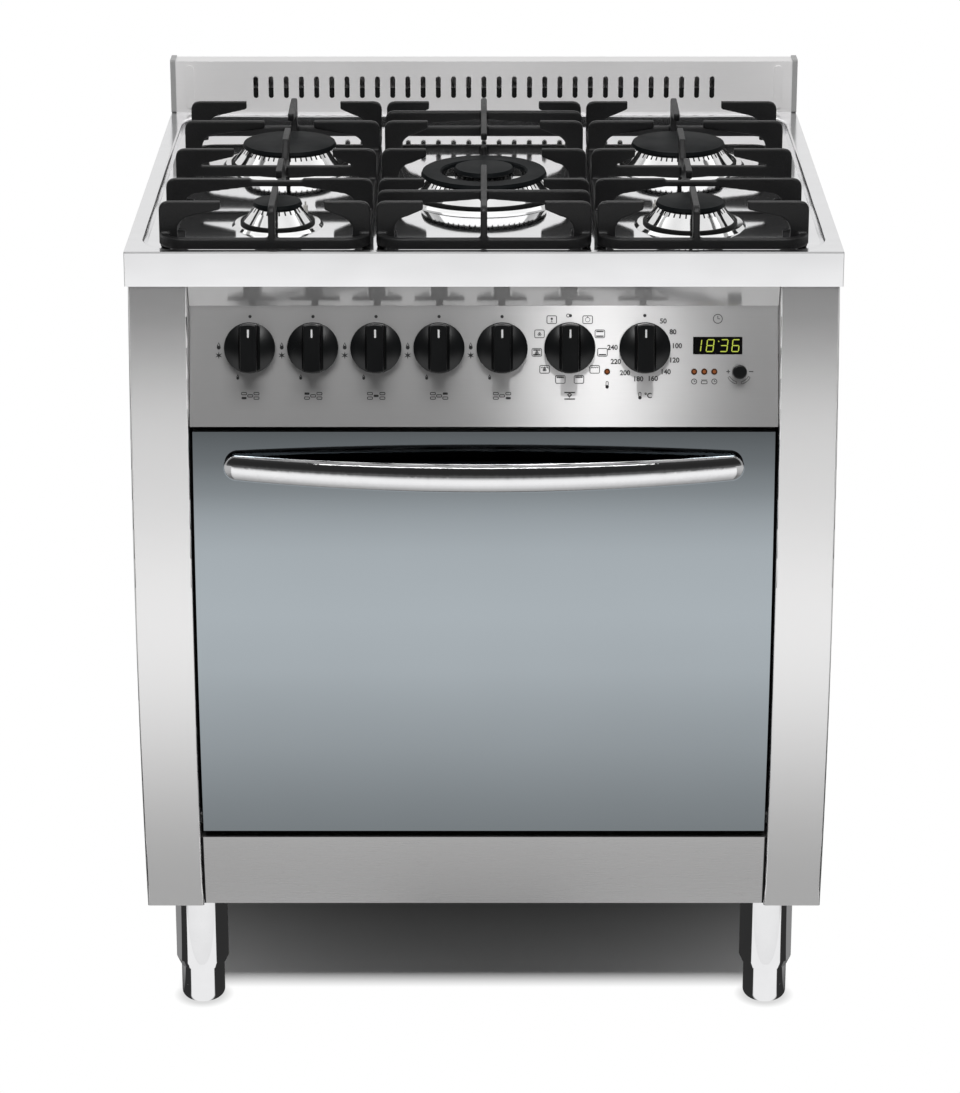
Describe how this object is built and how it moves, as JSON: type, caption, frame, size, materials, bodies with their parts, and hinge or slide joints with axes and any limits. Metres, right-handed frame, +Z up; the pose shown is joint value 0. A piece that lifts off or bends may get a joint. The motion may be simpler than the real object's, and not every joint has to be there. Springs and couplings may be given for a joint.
{
  "type": "dual fuel range cooker",
  "caption": "Free-standing gas hob and electric fan oven cooker with a curved steel front, glass drop-down door, bowed handle, cast-iron pan supports and adjustable legs.",
  "frame": {"origin": "middle of the bounding box on the floor", "axes": "+X to the cooker's right seen from the front, +Y to the back, +Z up"},
  "size_m": [0.7, 0.6699, 0.89],
  "materials": {
    "polished_steel": "polished",
    "brushed_steel": "brushed",
    "chrome": "polished",
    "cast_aluminium": "polished",
    "black_enamel": "satin",
    "cast_iron": "matt enamel",
    "black_plastic": "satin",
    "grey_plastic": "satin",
    "white_ceramic": "glazed",
    "amber_lens": "clear",
    "mirror_glass": "mirror tint",
    "clear_glass": "clear",
    "lamp_glass": "clear",
    "zinc_steel": "galvanised",
    "chromed_wire": "bright",
    "brass": "machined",
    "gas_tube": "drawn",
    "mineral_wool": "fibre",
    "seal_rubber": "matt"
  },
  "bodies": {
    "chassis": {"backguard": "brushed_steel", "backguard_end_caps": "grey_plastic", "base_plate": "zinc_steel", "burner_caps": "black_enamel", "burner_crowns": "cast_aluminium", "burner_cups": "chrome", "control_panel": "brushed_steel", "door_seal": "seal_rubber", "fan_cover": "zinc_steel", "fan_motor": "zinc_steel", "front_column_left": "brushed_steel", "front_column_right": "brushed_steel", "gas_manifold": "gas_tube", "gas_pipes": "gas_tube", "gas_taps": "brass", "heating_elements": "zinc_steel", "hinge_pins": "zinc_steel", "indicator_lenses": "amber_lens", "leg_sleeves": "chrome", "oven_cavity": "black_enamel", "oven_insulation": "mineral_wool", "oven_lamp": "lamp_glass", "oven_switches": "black_plastic", "plinth_panel": "brushed_steel", "programmer_module": "black_plastic", "rear_panel": "zinc_steel", "rear_screws": "zinc_steel", "shelf_ladders": "chromed_wire", "side_panel_left": "zinc_steel", "side_panel_right": "zinc_steel", "spark_electrodes": "white_ceramic", "terminal_block": "black_plastic", "wire_shelf": "chromed_wire", "worktop": "polished_steel"},
    "door": {"door_frame": "zinc_steel", "door_outer_glass": "mirror_glass", "door_inner_glass": "clear_glass", "door_hinge_blocks": "zinc_steel", "door_handle": "chrome"},
    "fan": {"fan_blade": "zinc_steel"},
    "support_left": {"pan_support_left": "cast_iron"},
    "support_centre": {"pan_support_centre": "cast_iron"},
    "support_right": {"pan_support_right": "cast_iron"},
    "function_knob": {"knob_function": "black_plastic"},
    "thermostat_knob": {"knob_thermostat": "black_plastic"},
    "programmer_knob": {"knob_programmer": "black_plastic"},
    "plunger_front_left": {"tap_plunger_front_left": "brass"},
    "gas_knob_front_left": {"knob_front_left": "black_plastic"},
    "plunger_rear_left": {"tap_plunger_rear_left": "brass"},
    "gas_knob_rear_left": {"knob_rear_left": "black_plastic"},
    "plunger_wok": {"tap_plunger_wok": "brass"},
    "gas_knob_wok": {"knob_wok": "black_plastic"},
    "plunger_rear_right": {"tap_plunger_rear_right": "brass"},
    "gas_knob_rear_right": {"knob_rear_right": "black_plastic"},
    "plunger_front_right": {"tap_plunger_front_right": "brass"},
    "gas_knob_front_right": {"knob_front_right": "black_plastic"},
    "foot_front_left": {"leg_foot_front_left": "chrome"},
    "foot_front_right": {"leg_foot_front_right": "chrome"},
    "foot_rear_left": {"leg_foot_rear_left": "chrome"},
    "foot_rear_right": {"leg_foot_rear_right": "chrome"}
  },
  "joints": [
    {"name": "door_hinge", "type": "hinge", "parent": "chassis", "child": "door", "pos_m": [0, -0.26604, 0.232], "axis": [1, 0, 0], "range_deg": [0, 90], "stiffness_Nm_per_rad": 4, "springref_deg": -57.3},
    {"name": "fan_spin", "type": "hinge", "parent": "chassis", "child": "fan", "pos_m": [0, 0.15396, 0.427], "axis": [0, 1, 0], "continuous": true},
    {"name": "support_left_lift", "type": "slide", "parent": "chassis", "child": "support_left", "axis": [0, 0, 1], "range_m": [0, 0.15]},
    {"name": "support_centre_lift", "type": "slide", "parent": "chassis", "child": "support_centre", "axis": [0, 0, 1], "range_m": [0, 0.15]},
    {"name": "support_right_lift", "type": "slide", "parent": "chassis", "child": "support_right", "axis": [0, 0, 1], "range_m": [0, 0.15]},
    {"name": "tap_push_front_left", "type": "slide", "parent": "chassis", "child": "plunger_front_left", "axis": [0, 0.964, -0.2659], "range_m": [0, 0.004], "stiffness_N_per_m": 800, "springref_m": -0.002},
    {"name": "tap_turn_front_left", "type": "hinge", "parent": "plunger_front_left", "child": "gas_knob_front_left", "pos_m": [-0.229, -0.26194, 0.73198], "axis": [0, -0.964, 0.2659], "range_deg": [0, 160]},
    {"name": "tap_push_rear_left", "type": "slide", "parent": "chassis", "child": "plunger_rear_left", "axis": [0, 0.964, -0.2659], "range_m": [0, 0.004], "stiffness_N_per_m": 800, "springref_m": -0.002},
    {"name": "tap_turn_rear_left", "type": "hinge", "parent": "plunger_rear_left", "child": "gas_knob_rear_left", "pos_m": [-0.1673, -0.26194, 0.73198], "axis": [0, -0.964, 0.2659], "range_deg": [0, 160]},
    {"name": "tap_push_wok", "type": "slide", "parent": "chassis", "child": "plunger_wok", "axis": [0, 0.964, -0.2659], "range_m": [0, 0.004], "stiffness_N_per_m": 800, "springref_m": -0.002},
    {"name": "tap_turn_wok", "type": "hinge", "parent": "plunger_wok", "child": "gas_knob_wok", "pos_m": [-0.1056, -0.26194, 0.73198], "axis": [0, -0.964, 0.2659], "range_deg": [0, 160]},
    {"name": "tap_push_rear_right", "type": "slide", "parent": "chassis", "child": "plunger_rear_right", "axis": [0, 0.964, -0.2659], "range_m": [0, 0.004], "stiffness_N_per_m": 800, "springref_m": -0.002},
    {"name": "tap_turn_rear_right", "type": "hinge", "parent": "plunger_rear_right", "child": "gas_knob_rear_right", "pos_m": [-0.0439, -0.26194, 0.73198], "axis": [0, -0.964, 0.2659], "range_deg": [0, 160]},
    {"name": "tap_push_front_right", "type": "slide", "parent": "chassis", "child": "plunger_front_right", "axis": [0, 0.964, -0.2659], "range_m": [0, 0.004], "stiffness_N_per_m": 800, "springref_m": -0.002},
    {"name": "tap_turn_front_right", "type": "hinge", "parent": "plunger_front_right", "child": "gas_knob_front_right", "pos_m": [0.0178, -0.26194, 0.73198], "axis": [0, -0.964, 0.2659], "range_deg": [0, 160]},
    {"name": "function_turn", "type": "hinge", "parent": "chassis", "child": "function_knob", "pos_m": [0.084, -0.26194, 0.73198], "axis": [0, -0.964, 0.2659], "continuous": true},
    {"name": "thermostat_turn", "type": "hinge", "parent": "chassis", "child": "thermostat_knob", "pos_m": [0.1575, -0.26194, 0.73198], "axis": [0, -0.964, 0.2659], "range_deg": [-285, 0]},
    {"name": "programmer_turn", "type": "hinge", "parent": "chassis", "child": "programmer_knob", "pos_m": [0.25, -0.26819, 0.70932], "axis": [0, -0.964, 0.2659], "range_deg": [-30, 30], "stiffness_Nm_per_rad": 0.05},
    {"name": "foot_screw_front_left", "type": "slide", "parent": "chassis", "child": "foot_front_left", "axis": [0, 0, -1], "range_m": [0, 0.04]},
    {"name": "foot_screw_front_right", "type": "slide", "parent": "chassis", "child": "foot_front_right", "axis": [0, 0, -1], "range_m": [0, 0.04]},
    {"name": "foot_screw_rear_left", "type": "slide", "parent": "chassis", "child": "foot_rear_left", "axis": [0, 0, -1], "range_m": [0, 0.04]},
    {"name": "foot_screw_rear_right", "type": "slide", "parent": "chassis", "child": "foot_rear_right", "axis": [0, 0, -1], "range_m": [0, 0.04]}
  ]
}
